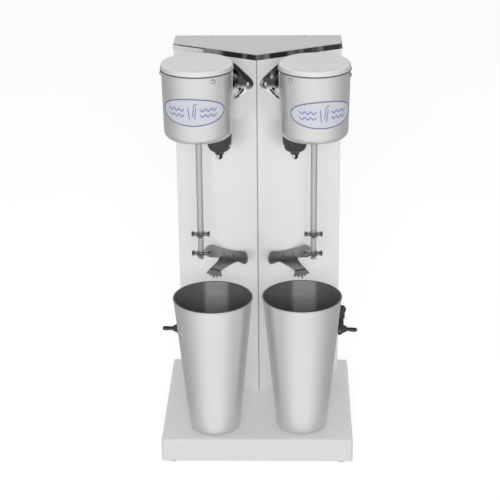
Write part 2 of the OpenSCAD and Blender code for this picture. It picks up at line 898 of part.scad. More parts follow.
module toggle_bodies() {
    color("firebrick") for (side = [-1, 1]) at_toggle(side) {
        translate([-20, -7, -14]) cube([20 - 1.2, 14, 28]);
        x_rod(5.9, -2, 0.8);
    }
}

module toggle_nuts() {
    color(rubber) for (side = [-1, 1]) at_toggle(side) difference() {
        union() {
            rotate([0, 90, 0]) cylinder(r = 9.6, h = 4, $fn = 6);
            x_rod(8.4, 0, 6);
        }
        x_rod(5.9 + touch, -1, 1);
        translate([toggle_pivot, 0, 0]) {
            rotate([0, 90, 0]) sphere(r = toggle_ball_r + 0.2);
            y_rod(toggle_pin_r + touch, -12, 12);
        }
    }
}

// Turns a toggle's moving parts about their pivot to their rest tilt
module at_toggle_pivot(side) {
    at_toggle(side) translate([toggle_pivot, 0, 0])
        rotate([0, side < 0 ? 0 : toggle_tilt, 0]) children();
}

module toggle_lever(side) {
    tip = 24;
    color("black") at_toggle_pivot(side) difference() {
        union() {
            x_rod(2.6, -1.2, tip - 3.1);
            translate([tip - 3.1, 0, 0]) sphere(r = 3.1);
            rotate([0, 90, 0]) translate([0, 0, 10]) cylinder(r1 = 2.6, r2 = 3.1, h = tip - 13.1);
        }
        y_rod(toggle_pin_r + fit, -4, 4);
    }
}

module toggle_boot(side) {
    color(rubber) at_toggle_pivot(side) difference() {
        rotate([0, 90, 0]) rotate_extrude() intersection() {
            union() {
                circle(r = toggle_ball_r);
                polygon([[0, 3], [6.2, 3.4], [5.4, 6], [4, 8.2], [3.9, 9.6], [0, 9.6]]);
            }
            translate([0, -0.6]) square([toggle_ball_r, 12]);
        }
        x_rod(2.6 + touch, -5, 12);
        y_rod(toggle_pin_r + 2 * fit, -9, 9);
    }
}

// ---------- cord, plug and wiring ----------

module cord_gland() {
    color(rubber) translate([col_half, gland_y, gland_z]) difference() {
        union() {
            x_rod(5, -6, 1);
            x_rod(7.2, 0, 1.8);
            x_rod(6.3, 0, gland_out);
            translate([gland_out, 0, 0]) sphere(r = 6.3);
            translate([gland_out, 0, 0]) z_rod(4.7, -12, 0);
        }
        x_rod(3, -7, gland_out);
        translate([gland_out, 0, 0]) z_rod(cord_r + touch, -13, 0);
    }
}

hank_y = back_y + cord_r + 5;
hank_low = cord_r + 0.1;
hank_pitch = 8;
hank_turn_r = 38;
hank_x = [-25, 45];           // centres of the hank's left and right turns
hank_top = hank_low + 2 * hank_turn_r;
plug_rise = 16;
plug_back = 10.5;

// Half turn of cord in the upright hank, from z0 up to z1
module half_turn(side, z0, z1) {
    translate([hank_x[side < 0 ? 0 : 1], hank_y, (z0 + z1) / 2]) rotate([90, 0, 0])
        rotate([0, 0, side < 0 ? 90 : -90]) rotate_extrude(angle = 180)
            translate([(z1 - z0) / 2, 0]) circle(r = cord_r, $fn = 24);
}

// Cord along X at height z
module strand(x0, x1, z) {
    translate([0, hank_y, z]) rotate([0, 90, 0]) translate([0, 0, x0])
        cylinder(r = cord_r, h = x1 - x0, $fn = 24);
}

module power_cord() {
    drop_x = col_half + gland_out;
    bend_r = 8;
    turn_r = 9;
    plug_tilt = atan(plug_back / plug_rise);
    plug_turn_r = norm([plug_rise, plug_back]) / 2;
    color(rubber) {
        // down from the gland, back past the column, and round behind it
        translate([drop_x, gland_y, 0])
            translate([0, 0, hank_top + bend_r]) cylinder(r = cord_r, h = gland_z - hank_top - bend_r - 0.5, $fn = 24);
        translate([drop_x, gland_y + bend_r, hank_top + bend_r]) rotate([0, -90, 0])
            rotate([0, 0, 180]) rotate_extrude(angle = 90) translate([bend_r, 0]) circle(r = cord_r, $fn = 24);
        translate([drop_x, 0, hank_top]) rotate([-90, 0, 0]) translate([0, 0, gland_y + bend_r])
            cylinder(r = cord_r, h = hank_y - turn_r - gland_y - bend_r, $fn = 24);
        translate([drop_x - turn_r, hank_y - turn_r, hank_top])
            rotate_extrude(angle = 90) translate([turn_r, 0]) circle(r = cord_r, $fn = 24);
        strand(hank_x[0], drop_x - turn_r, hank_top);
        // hank: three turns, each one pitch inside the last
        for (k = [0:2]) {
            low = hank_low + k * hank_pitch;
            half_turn(-1, low, hank_top - k * hank_pitch);
            strand(hank_x[0], hank_x[1], low);
        }
        for (k = [0:1]) {
            high = hank_top - (k + 1) * hank_pitch;
            half_turn(1, hank_low + k * hank_pitch, high);
            strand(hank_x[0], hank_x[1], high);
        }
        // last turn leans back to the plug
        translate([hank_x[1], hank_y, hank_low + 2 * hank_pitch]) rotate([90 - plug_tilt, 0, 0])
            translate([0, plug_turn_r, 0]) rotate([0, 0, -90]) rotate_extrude(angle = 180)
                translate([plug_turn_r, 0]) rotate(-plug_tilt) circle(r = cord_r, $fn = 24);
    }
}

plug_z = hank_low + 2 * hank_pitch + plug_rise;
plug_y = hank_y + plug_back;

module power_plug() {
    color(rubber) translate([hank_x[1], plug_y, plug_z]) {
        difference() {
            union() {
                rotate([0, -90, 0]) cylinder(r1 = 4.4, r2 = 6.5, h = 16);
                translate([-38, -12.5, -13]) rotate([90, 0, 90]) linear_extrude(24)
                    translate([12.5, 13]) rounded_rect(25, 26, 6);
            }
            x_rod(cord_r + touch, -6, 1);
        }
    }
    color(polished) translate([hank_x[1], plug_y, plug_z]) for (z = [-1, 1]) translate([0, 0, z * 8]) {
        x_rod(2.2, -54, -38.02);
        translate([-54, 0, 0]) sphere(r = 2.2);
    }
}

module cable_tie() {
    color("black") translate([15, hank_y, hank_top - hank_pitch]) difference() {
        cube([5, 2 * cord_r + 1.0, 2 * hank_pitch + 2 * cord_r + 2], center = true);
        cube([6, 2 * cord_r + 0.1, 2 * hank_pitch + 2 * cord_r + 0.1], center = true);
    }
}

module terminal_block() {
    ways = 5;
    color("ivory") translate([-ways * 5, back_y - sheet - 16, base_top + 30]) difference() {
        cube([ways * 10, 16 - touch, 18]);
        for (i = [0:ways - 1]) translate([5 + 10 * i, 0, 9]) {
            y_rod(3, -1, 8);
            z_rod(1.8, -10, 10);
        }
    }
}

// ---------- cups ----------

module cup(side) {
    i = side < 0 ? 0 : 1;
    edge_r = 5;
    bead_r = 1.3;
    slope = (cup_rim_r - cup_foot_r) / cup_h;
    lean = atan(slope);
    edge_x = cup_foot_r + slope * edge_r - edge_r / cos(lean);
    color(steel) translate([cup_x[i], cup_y[i], base_top]) rotate_extrude($fn = 120) {
        difference() {
            union() {
                polygon([[0, 0], [edge_x, 0], [edge_x + edge_r * cos(lean), edge_r * (1 - sin(lean))],
                    [cup_rim_r, cup_h - bead_r], [0, cup_h - bead_r]]);
                intersection() {
                    translate([edge_x, edge_r]) circle(r = edge_r);
                    square([cup_rim_r, edge_r]);
                }
            }
            polygon([[0, cup_t], [edge_x, cup_t],
                [edge_x + (edge_r - cup_t) * cos(lean), edge_r - (edge_r - cup_t) * sin(lean)],
                [cup_rim_r - cup_t, cup_h], [0, cup_h]]);
            intersection() {
                translate([edge_x, edge_r]) circle(r = edge_r - cup_t);
                square([cup_rim_r, edge_r]);
            }
        }
        translate([cup_rim_r - 0.6, cup_h - bead_r]) circle(r = bead_r);
    }
}

// ---------- the assembly ----------

base_pan();
base_plate();
feet();
foot_screws();
column_front();
column_back();
top_cap();
case_screws();
cup_rest(-1);  // left_cup_rest
cup_rest(1);  // right_cup_rest
rest_nuts();
neck(-1);  // left_neck
neck(1);  // right_neck
neck_bolts();
head_shell(-1);  // left_head_shell
head_shell(1);  // right_head_shell
head_lid(-1);  // left_head_lid
head_lid(1);  // right_head_lid
lid_screws();
badge(-1);  // left_badge
badge(1);  // right_badge
stator_cores();
field_coils();
lower_brackets();
upper_brackets();
motor_bolts();
motor_bearings();
motor_brushes();
nose_nuts();
switch_housing(-1);  // left_switch_housing
switch_housing(1);  // right_switch_housing
micro_switches();
switch_pins();
toggle_bodies();
toggle_nuts();
cord_gland();
power_cord();
power_plug();
cable_tie();
terminal_block();
toggle_lever(-1);  // left_toggle_lever
toggle_lever(1);  // right_toggle_lever
toggle_boot(-1);  // left_toggle_boot
toggle_boot(1);  // right_toggle_boot
cup_lever(-1);  // left_cup_lever
cup_lever(1);  // right_cup_lever
lever_boot(-1);  // left_lever_boot
lever_boot(1);  // right_lever_boot
armature(-1);  // left_armature
armature(1);  // right_armature
motor_shaft(-1);  // left_motor_shaft
motor_shaft(1);  // right_motor_shaft
fan(-1);  // left_fan
fan(1);  // right_fan
agitator_rod(-1);  // left_agitator_rod
agitator_rod(1);  // right_agitator_rod
agitator_discs(-1);  // left_agitator_discs
agitator_discs(1);  // right_agitator_discs
cup(-1);  // left_cup
cup(1);  // right_cup
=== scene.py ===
"""Looks of the double-head milkshake mixer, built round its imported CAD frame."""

import json
import math

import bmesh
import bpy
from mathutils import Matrix, Vector


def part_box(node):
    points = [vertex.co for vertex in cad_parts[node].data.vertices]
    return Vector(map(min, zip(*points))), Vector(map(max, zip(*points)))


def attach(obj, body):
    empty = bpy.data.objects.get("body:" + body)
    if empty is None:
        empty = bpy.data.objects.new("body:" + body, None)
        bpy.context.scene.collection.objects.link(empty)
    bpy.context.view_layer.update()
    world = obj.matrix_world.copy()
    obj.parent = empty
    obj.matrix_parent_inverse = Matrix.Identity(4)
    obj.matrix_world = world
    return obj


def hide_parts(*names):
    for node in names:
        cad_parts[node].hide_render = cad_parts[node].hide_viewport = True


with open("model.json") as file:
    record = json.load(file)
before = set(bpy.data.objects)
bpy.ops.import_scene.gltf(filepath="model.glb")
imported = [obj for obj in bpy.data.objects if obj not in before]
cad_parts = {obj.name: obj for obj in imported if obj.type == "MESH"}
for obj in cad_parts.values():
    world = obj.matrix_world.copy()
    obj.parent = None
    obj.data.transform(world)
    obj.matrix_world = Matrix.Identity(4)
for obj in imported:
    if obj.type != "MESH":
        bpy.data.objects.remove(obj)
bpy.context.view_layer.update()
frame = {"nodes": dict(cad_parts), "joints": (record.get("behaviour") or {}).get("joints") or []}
MM = 0.001
SIDES = {"left": -1, "right": 1}
LID_SEAM = 9.2 * MM  # from the lid's top down to its lower edge, where the shell begins
nodes_of_frame = frame["nodes"]
joints = {joint["name"]: joint for joint in frame["joints"]}


# ---------- places, all read from the frame ----------

boxes = {name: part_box(name) for name in nodes_of_frame}


def centre(node):
    low, high = boxes[node]
    return (low + high) / 2


lever_axis = Vector(joints["right_cup_lever_press"]["axis"])
panel_turn = math.atan2(lever_axis.y, lever_axis.x)
column_low, column_high = boxes["column_front"]
cap_low, cap_high = boxes["top_cap"]
back_y = boxes["column_back"][1].y
ridge_y = column_low.y
col_half = column_high.x


def panel_frame(side):
    """Matrix of a front panel: origin at the ridge, X along the panel, Y into it, Z up."""
    turn = Matrix.Rotation(panel_turn, 4, "Z")
    mirror = Matrix.Diagonal((SIDES[side], 1, 1, 1))
    return mirror @ Matrix.Translation((0, ridge_y, 0)) @ turn


def spindle(side):
    """A spindle's pivot, and the box of the shell round it."""
    low, high = boxes[side + "_head_shell"]
    return Vector(joints[side + "_spindle_turn"]["pos_m"]), low, high


# ---------- mesh helpers ----------

def arc(x, z, radius, start, end, steps=8):
    """Points of an arc between two angles in degrees."""
    points = []
    for i in range(steps + 1):
        angle = math.radians(start + (end - start) * i / steps)
        points.append((x + radius * math.cos(angle), z + radius * math.sin(angle)))
    return points


def piece_from(name, build, material, body, stands_for=(), sharp=35):
    """Makes a riding piece from a function that fills a bmesh."""
    shape = bmesh.new()
    build(shape)
    bmesh.ops.remove_doubles(shape, verts=shape.verts, dist=1e-6)
    bmesh.ops.recalc_face_normals(shape, faces=shape.faces)
    mesh = bpy.data.meshes.new(name)
    shape.to_mesh(mesh)
    shape.free()
    mesh.polygons.foreach_set("use_smooth", [True] * len(mesh.polygons))
    mesh.set_sharp_from_angle(angle=math.radians(sharp))
    mesh.materials.append(material)
    piece = bpy.data.objects.new(name, mesh)
    bpy.context.scene.collection.objects.link(piece)
    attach(piece, body)
    if stands_for:
        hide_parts(*stands_for)
    return piece


def add_grid(shape, rows, around=True, closed=False, caps=False):
    """Quads between rows of points, with optional end faces."""
    rings = [[shape.verts.new(point) for point in row] for row in rows]
    count = len(rings[0])
    last_row = len(rings) if closed else len(rings) - 1
    last_col = count if around else count - 1
    for i in range(last_row):
        upper = rings[(i + 1) % len(rings)]
        for j in range(last_col):
            k = (j + 1) % count
            shape.faces.new((rings[i][j], rings[i][k], upper[k], upper[j]))
    if caps:
        shape.faces.new(list(reversed(rings[0])))
        shape.faces.new(rings[-1])


def ring(matrix, radius, height, steps):
    turn = 2 * math.pi / steps
    return [matrix @ Vector((radius * math.cos(turn * i), radius * math.sin(turn * i), height))
            for i in range(steps)]


def add_lathe(shape, matrix, profile, steps=96, closed=False):
    """Turns a profile of (radius, height) points about the matrix's Z axis."""
    add_grid(shape, [ring(matrix, r, h, steps) for r, h in profile], closed=closed)


def rounded_outline(corners, radius, inset, steps=6):
    """Loop round a convex outline with rounded corners, moved inwards by inset."""
    loop = []
    count = len(corners)
    for i, corner in enumerate(corners):
        here = Vector(corner)
        before = (here - Vector(corners[i - 1])).normalized()
        after = (Vector(corners[(i + 1) % count]) - here).normalized()
        start = math.atan2(-before.x, before.y)
        swing = (math.atan2(-after.x, after.y) - start + math.pi) % (2 * math.pi) - math.pi
        half = swing / 2
        corner_r = max(radius, inset + 0.05 * MM)
        outwards = Vector((math.cos(start + half), math.sin(start + half)))
        middle = here - outwards * corner_r / math.cos(half)
        for j in range(steps + 1):
            angle = start + swing * j / steps
            loop.append(middle + Vector((math.cos(angle), math.sin(angle))) * (corner_r - inset))
    return loop


def column_corners(grow):
    """Plan corners of the column, anticlockwise, moved outwards by grow."""
    half = col_half + grow
    slope = math.tan(panel_turn)
    ridge = ridge_y - grow / math.cos(panel_turn)
    back = back_y + min(grow, 1.3 * MM) if grow > 0 else back_y - 1.05 * MM
    return [(0, ridge), (half, ridge + slope * half), (half, back), (-half, back),
            (-half, ridge + slope * half)]


def at_height(loop, z):
    return [Vector((p.x, p.y, z)) for p in loop]


# ---------- materials ----------

def new_material(name):
    material = bpy.data.materials.new(name)
    material.use_nodes = True
    tree = material.node_tree
    return material, tree, tree.nodes["Principled BSDF"]


def add_noise(tree, stretch, detail=3.0):
    """Noise over the object's own place, with one scale per axis in waves per metre."""
    place = tree.nodes.new("ShaderNodeTexCoord")
    mapping = tree.nodes.new("ShaderNodeMapping")
    mapping.inputs["Scale"].default_value = stretch
    noise = tree.nodes.new("ShaderNodeTexNoise")
    noise.inputs["Scale"].default_value = 1.0
    noise.inputs["Detail"].default_value = detail
    tree.links.new(place.outputs["Object"], mapping.inputs["Vector"])
    tree.links.new(mapping.outputs["Vector"], noise.inputs["Vector"])
    return noise.outputs["Fac"]


def spread(tree, value, low, high):
    """Turns noise into the range low to high."""
    node = tree.nodes.new("ShaderNodeMapRange")
    node.inputs["From Min"].default_value = 0.3
    node.inputs["From Max"].default_value = 0.7
    node.inputs["To Min"].default_value = low
    node.inputs["To Max"].default_value = high
    tree.links.new(value, node.inputs["Value"])
    return node.outputs["Result"]


def calc(tree, kind, first, second=None, third=None):
    """Arithmetic node; its inputs are numbers or other nodes' outputs."""
    node = tree.nodes.new("ShaderNodeMath")
    node.operation = kind
    for i, value in enumerate((first, second, third)):
        if value is None:
            continue
        if isinstance(value, (int, float)):
            node.inputs[i].default_value = value
        else:
            tree.links.new(value, node.inputs[i])
    return node.outputs[0]


def step_up(tree, value, start, end):
    """Smooth rise from 0 at start to 1 at end; start may be the larger."""
    node = tree.nodes.new("ShaderNodeMapRange")
    node.interpolation_type = "SMOOTHSTEP"
    node.inputs["From Min"].default_value = start
    node.inputs["From Max"].default_value = end
    tree.links.new(value, node.inputs["Value"])
    return node.outputs["Result"]


def coordinate(tree, kind, axis):
    """One axis of the object's own place or of the surface's direction."""
    place = tree.nodes.new("ShaderNodeTexCoord")
    split = tree.nodes.new("ShaderNodeSeparateXYZ")
    tree.links.new(place.outputs[kind], split.inputs[0])
    return split.outputs[axis]


def tinted(tree, color, factor):
    """The colour multiplied by a varying factor."""
    node = tree.nodes.new("ShaderNodeVectorMath")
    node.operation = "SCALE"
    node.inputs[0].default_value = color
    tree.links.new(factor, node.inputs["Scale"])
    return node.outputs["Vector"]


def bumped(tree, shader, height, strength, distance):
    node = tree.nodes.new("ShaderNodeBump")
    node.inputs["Strength"].default_value = strength
    node.inputs["Distance"].default_value = distance
    tree.links.new(height, node.inputs["Height"])
    tree.links.new(node.outputs["Normal"], shader.inputs["Normal"])


def metal(name, color, roughness, grain, mottling=0.05, bump=0.15, smear=0.0, mirror=1.0, vary=0.15,
          fill=0.0):
    """Metal with fine grain; smear stretches reflections upright, and fill adds a painted glow that lifts
    its shadows.
    """
    material, tree, shader = new_material(name)
    shader.inputs["Metallic"].default_value = mirror
    fine = add_noise(tree, grain, 2.0)
    broad = add_noise(tree, (9, 9, 9), 2.0)
    tree.links.new(spread(tree, fine, roughness * (1 - vary), roughness * (1 + vary)),
                   shader.inputs["Roughness"])
    tree.links.new(tinted(tree, color, spread(tree, broad, 1 - mottling, 1 + mottling)),
                   shader.inputs["Base Color"])
    shader.inputs["Emission Color"].default_value = (1, 1, 1, 1)
    shader.inputs["Emission Strength"].default_value = fill
    bumped(tree, shader, fine, bump, 0.00003)
    if smear:
        tangent = tree.nodes.new("ShaderNodeTangent")
        tangent.direction_type = "RADIAL"
        tangent.axis = "Z"
        shader.inputs["Anisotropic"].default_value = smear
        shader.inputs["Anisotropic Rotation"].default_value = 0.25
        tree.links.new(tangent.outputs["Tangent"], shader.inputs["Tangent"])
    return material


def plastic(name, color, roughness, grain=900, mottling=0.12, bump=0.3, coat=0.0):
    """Moulded plastic or rubber with a fine skin texture."""
    material, tree, shader = new_material(name)
    fine = add_noise(tree, (grain, grain, grain), 4.0)
    broad = add_noise(tree, (60, 60, 60), 2.0)
    tree.links.new(spread(tree, fine, roughness * 0.85, roughness * 1.15), shader.inputs["Roughness"])
    tree.links.new(tinted(tree, color, spread(tree, broad, 1 - mottling, 1 + mottling)),
                   shader.inputs["Base Color"])
    shader.inputs["Coat Weight"].default_value = coat
    shader.inputs["Coat Roughness"].default_value = 0.08
    bumped(tree, shader, fine, bump, 0.00006)
    return material


FLAT_GRAIN = (1400, 1400, 25)
ROUND_GRAIN = (40, 40, 2600)
EVEN_GRAIN = (700, 700, 700)
# The fill on the steels below is a painted glow: strong on the sheet and base steels to lift the shade
# near the heads and cups, faint on the heads and cups.
sheet_steel = metal("sheet_steel", (0.51, 0.51, 0.507), 0.30, FLAT_GRAIN,
                    mottling=0.005, bump=0, mirror=0.3, vary=0.03, fill=0.17)
base_steel = metal("base_steel", (0.54, 0.54, 0.537), 0.42, (30, 1500, 1500),
                   mottling=0.005, bump=0, mirror=0.3, vary=0.03, fill=0.17)
cap_steel = metal("cap_steel", (0.65, 0.65, 0.647), 0.25, EVEN_GRAIN,
                  mottling=0.01, bump=0, mirror=0.45, vary=0.03)
head_steel = metal("head_steel", (0.645, 0.645, 0.64), 0.34, ROUND_GRAIN,
                   mottling=0.02, bump=0.08, smear=0.65, mirror=0.82, fill=0.015)
lid_steel = metal("lid_steel", (0.85, 0.85, 0.845), 0.38, EVEN_GRAIN,
                  mottling=0.01, bump=0.02, mirror=0.45, vary=0.05)
cup_steel = metal("cup_steel", (0.68, 0.68, 0.675), 0.34, ROUND_GRAIN,
                  mottling=0.02, bump=0.1, smear=0.65, mirror=0.85, fill=0.01)
# The lining is the cup's own steel given a far darker colour: painted shade inside the cup.
cup_lining = metal("cup_lining", (0.15, 0.15, 0.15), 0.40, ROUND_GRAIN,
                   mottling=0.06, bump=0.4, smear=0.5, mirror=0.4)
chrome = metal("chrome", (0.80, 0.80, 0.81), 0.07, EVEN_GRAIN, mottling=0.03, bump=0.03)
neck_chrome = metal("neck_chrome", (0.80, 0.80, 0.81), 0.07, EVEN_GRAIN, mottling=0.03, bump=0.03)
rod_steel = metal("rod_steel", (0.47, 0.47, 0.467), 0.30, EVEN_GRAIN,
                  mottling=0.02, bump=0, smear=0.5, mirror=0.75, vary=0.03)
ball_chrome = metal("ball_chrome", (0.80, 0.80, 0.81), 0.12, EVEN_GRAIN, mottling=0.02, bump=0.02)
# The cup rest's steel is given dark colours, the band darker still: painted dark reflection of the room
# it faces.
rest_steel = metal("rest_steel", (0.30, 0.30, 0.30), 0.32, (500, 500, 60), mottling=0.06, bump=0.12)
rest_dark = metal("rest_dark", (0.27, 0.27, 0.27), 0.30, (60, 60, 900), mottling=0.15, bump=0.3)
disc_chrome = metal("disc_chrome", (0.34, 0.34, 0.345), 0.10, EVEN_GRAIN, mottling=0.03, bump=0.03)
screw_steel = metal("screw_steel", (0.62, 0.62, 0.62), 0.20, EVEN_GRAIN)
lamination_steel = metal("lamination_steel", (0.24, 0.25, 0.27), 0.45, (40, 40, 2000),
                         mottling=0.1, bump=0.5)
coil_copper = metal("coil_copper", (0.72, 0.34, 0.14), 0.30, (1500, 1500, 60), mottling=0.1, bump=0.5)
cast_aluminium = metal("cast_aluminium", (0.60, 0.61, 0.62), 0.48, (900, 900, 900),
                       mottling=0.08, bump=0.4)
# The feet are black rubber painted darker still, for the shadow under the base.
foot_black_and_shadow = plastic("foot_black_and_shadow", (0.004, 0.004, 0.004), 0.8)
black_rubber = plastic("black_rubber", (0.030, 0.030, 0.031), 0.52)
housing_black = plastic("housing_black", (0.028, 0.028, 0.030), 0.42, grain=1200)
gloss_black = plastic("gloss_black", (0.015, 0.015, 0.017), 0.16,
                      grain=400, mottling=0.1, bump=0.05, coat=0.6)
fan_plastic = plastic("fan_plastic", (0.10, 0.11, 0.12), 0.5)
switch_red = plastic("switch_red", (0.50, 0.05, 0.04), 0.45)
carbon = plastic("carbon", (0.10, 0.085, 0.07), 0.6)
terminal_white = plastic("terminal_white", (0.72, 0.72, 0.68), 0.45)
badge_pale = plastic("badge_pale", (0.39, 0.40, 0.435), 0.35,
                     grain=500, mottling=0.02, bump=0.05, coat=0.15)
badge_blue = plastic("badge_blue", (0.07, 0.08, 0.20), 0.28,
                     grain=500, mottling=0.1, bump=0.05, coat=0.4)
badge_ink = plastic("badge_ink", (0.12, 0.15, 0.30), 0.30, grain=500, mottling=0.1, bump=0.05, coat=0.4)


def scale_color(material, factor):
    """Multiplies a finish's colour by another varying factor."""
    tree = material.node_tree
    socket = tree.nodes["Principled BSDF"].inputs["Base Color"]
    before = socket.links[0].from_socket
    scaled = tree.nodes.new("ShaderNodeVectorMath")
    scaled.operation = "SCALE"
    tree.links.new(before, scaled.inputs[0])
    tree.links.new(factor, scaled.inputs["Scale"])
    tree.links.new(scaled.outputs["Vector"], socket)


def paint_cap_reflection():
    """Painted reflection: the cap's upright flange is painted in bright and dark blotches, as if
    mirroring a room, with a painted highlight at its left end under the edge; its top stays even.
    """
    tree = cap_steel.node_tree
    painted_blotches = spread(tree, add_noise(tree, (42, 42, 0), 1.0), -0.45, 0.55)
    left_end = step_up(tree, coordinate(tree, "Object", 0), -0.060, -0.072)
    height = coordinate(tree, "Object", 2)
    under_edge = step_up(tree, height, cap_high.z - 1.6 * MM, cap_high.z - 2.2 * MM)
    painted_highlight_end = calc(tree, "MULTIPLY", calc(tree, "MULTIPLY", left_end, under_edge), 0.95)
    dark = calc(tree, "MAXIMUM", calc(tree, "MAXIMUM", painted_blotches, painted_highlight_end), 0.03)
    upward = step_up(tree, coordinate(tree, "Normal", 2), 0.3, 0.8)
    scale_color(cap_steel, calc(tree, "MAXIMUM", dark, upward))


def paint_lining_highlight():
    """Painted highlight: a pale upright band painted on the far wall inside each cup, as if mirroring the
    bright room, broken by fine turning marks.
    """
    tree = cup_lining.node_tree
    between_bands = 3.5 * MM
    highlight_at = 55.5 * MM
    along = calc(tree, "SUBTRACT", coordinate(tree, "Object", 0), between_bands)
    off_band = calc(tree, "ABSOLUTE", calc(tree, "SUBTRACT", calc(tree, "ABSOLUTE", along), highlight_at))
    band = calc(tree, "MULTIPLY", step_up(tree, off_band, 18 * MM, 11 * MM), 1.3)
    marks = spread(tree, add_noise(tree, (30, 30, 1500), 2.0), 0.85, 1.15)
    scale_color(cup_lining, calc(tree, "MULTIPLY", calc(tree, "ADD", band, 1.0), marks))


def paint_neck_reflection():
    """Painted reflection: the upper half of each neck is painted dark, as if mirroring the dark part of
    the room, broken by a few painted highlights.
    """
    tree = neck_chrome.node_tree
    neck_z = spindle("left")[0].z
    upper = step_up(tree, coordinate(tree, "Object", 2), neck_z - 8 * MM, neck_z)
    painted_glints = spread(tree, add_noise(tree, (90, 90, 60), 1.0), -1.6, 0.7)
    dark = calc(tree, "MAXIMUM", painted_glints, 0.09)
    lower = calc(tree, "SUBTRACT", 1.0, upper)
    scale_color(neck_chrome, calc(tree, "MULTIPLY_ADD", upper, dark, lower))


def paint_ridge_reflection():
    """Painted reflection: the folded ridge between the two front panels is painted as one thin dark line,
    where the bend mirrors something dark.
    """
    tree = sheet_steel.node_tree
    across = calc(tree, "ABSOLUTE", coordinate(tree, "Object", 0))
    facing = step_up(tree, coordinate(tree, "Normal", 1), -0.5, -0.8)
    line = calc(tree, "MULTIPLY", step_up(tree, across, 0.9 * MM, 0.5 * MM), facing)
    scale_color(sheet_steel, calc(tree, "MULTIPLY_ADD", line, -0.85, 1.0))


def paint_lid_reflection_and_shade():
    """Painted reflection and shade: the lid's rolled rim is painted dark where it turns under, and its
    shoulder is painted greyer than its top to damp its bright reflection.
    """
    tree = lid_steel.node_tree
    seam = boxes["left_head_lid"][1].z - LID_SEAM
    height = coordinate(tree, "Object", 2)
    line = step_up(tree, height, seam + 2.0 * MM, seam + 1.5 * MM)
    level = step_up(tree, coordinate(tree, "Normal", 2), 0.2, 0.8)
    shoulder = calc(tree, "MULTIPLY_ADD", level, 0.30, 0.70)
    darkened = calc(tree, "MULTIPLY_ADD", line, -0.88, 1.0)
    scale_color(lid_steel, calc(tree, "MULTIPLY", shoulder, darkened))


def add_base_shade():
    """Painted shade: the base's upright sides are painted a little greyer than its top, evening out the
    light that falls on them.
    """
    tree = base_steel.node_tree
    level = step_up(tree, coordinate(tree, "Normal", 2), 0.3, 0.8)
    scale_color(base_steel, calc(tree, "MULTIPLY_ADD", level, 0.27, 0.73))


def add_rim_shade():
    """Painted reflection: the rolled rim of each cup is painted dark where it faces up, as if mirroring
    the dark ceiling.
    """
    tree = cup_steel.node_tree
    level = step_up(tree, coordinate(tree, "Normal", 2), 0.3, 0.7)
    scale_color(cup_steel, calc(tree, "MULTIPLY_ADD", level, -0.75, 1.0))


def add_ball_shade():
    """Painted reflection: each lever's round end is painted white on its left and dark on its right, as
    if mirroring a white wall and a dark one.
    """
    tree = ball_chrome.node_tree
    white = step_up(tree, coordinate(tree, "Normal", 0), 0.10, -0.25)
    scale_color(ball_chrome, calc(tree, "MULTIPLY_ADD", white, 0.95, 0.05))


paint_cap_reflection()
paint_lining_highlight()
paint_neck_reflection()
paint_ridge_reflection()
paint_lid_reflection_and_shade()
add_base_shade()
add_rim_shade()
add_ball_shade()

CARRIED_OVER = {
    base_steel: ["base_pan", "base_plate"],
    sheet_steel: ["column_back", "column_front"],
    cap_steel: ["top_cap"],
    neck_chrome: ["left_neck", "right_neck"],
    chrome: ["nose_nuts"],
    head_steel: ["left_head_shell", "right_head_shell"],
    lid_steel: ["left_head_lid", "right_head_lid"],
    cup_steel: ["left_cup", "right_cup"],
    rest_steel: ["left_cup_rest", "right_cup_rest", "left_agitator_discs", "right_agitator_discs"],
    rod_steel: ["left_agitator_rod", "right_agitator_rod", "left_motor_shaft", "right_motor_shaft"],
    screw_steel: ["case_screws", "foot_screws", "rest_nuts", "neck_bolts", "lid_screws",
                  "motor_bolts", "switch_pins", "motor_bearings"],
    lamination_steel: ["stator_cores", "left_armature", "right_armature"],
    coil_copper: ["field_coils"],
    cast_aluminium: ["lower_brackets", "upper_brackets"],
    carbon: ["motor_brushes"],
    foot_black_and_shadow: ["feet"],
    black_rubber: ["toggle_nuts", "cord_gland", "power_cord", "left_toggle_boot",
                   "right_toggle_boot", "left_lever_boot", "right_lever_boot"],
    housing_black: ["left_switch_housing", "right_switch_housing", "micro_switches",
                    "cable_tie", "power_plug"],
    gloss_black: ["left_toggle_lever", "right_toggle_lever"],
    ball_chrome: ["left_cup_lever", "right_cup_lever"],
    fan_plastic: ["left_fan", "right_fan"],
    switch_red: ["toggle_bodies"],
    terminal_white: ["terminal_block"],
    badge_pale: ["left_badge", "right_badge"],
}
for finish, names in CARRIED_OVER.items():
    for node_name in names:
        node = nodes_of_frame[node_name]
        node.data.materials.clear()
        node.data.materials.append(finish)


# ---------- column and cap ----------

def build_column(shape):
    corners = column_corners(0)
    bend = 1.6 * MM
    sheet = 1 * MM
    low, high = column_low.z, column_high.z
    outer = rounded_outline(corners, bend, 0)
    inner = rounded_outline(corners, bend, sheet)
    add_grid(shape, [at_height(outer, low), at_height(outer, high), at_height(inner, high),
                     at_height(inner, low)], closed=True)


def build_cap(shape):
    corners = column_corners(cap_high.x - col_half)
    corner_r = 3.2 * MM
    sheet = 1 * MM
    lean = 0.95 * MM
    edge_r = 1.2 * MM
    rows = [at_height(rounded_outline(corners, corner_r, sheet + lean), cap_high.z - sheet),
            at_height(rounded_outline(corners, corner_r, sheet), cap_low.z),
            at_height(rounded_outline(corners, corner_r, 0.3 * MM), cap_low.z),
            at_height(rounded_outline(corners, corner_r, 0), cap_low.z + 0.3 * MM)]
    for run, rise in arc(0, 0, edge_r, 0, 90, 6):
        inset = lean + edge_r - run
        rows.append(at_height(rounded_outline(corners, corner_r, inset), cap_high.z - edge_r + rise))
    add_grid(shape, rows, caps=True)


piece_from("column_wrap", build_column, sheet_steel, "frame", ("column_front",))
piece_from("cap", build_cap, cap_steel, "frame", ("top_cap",))


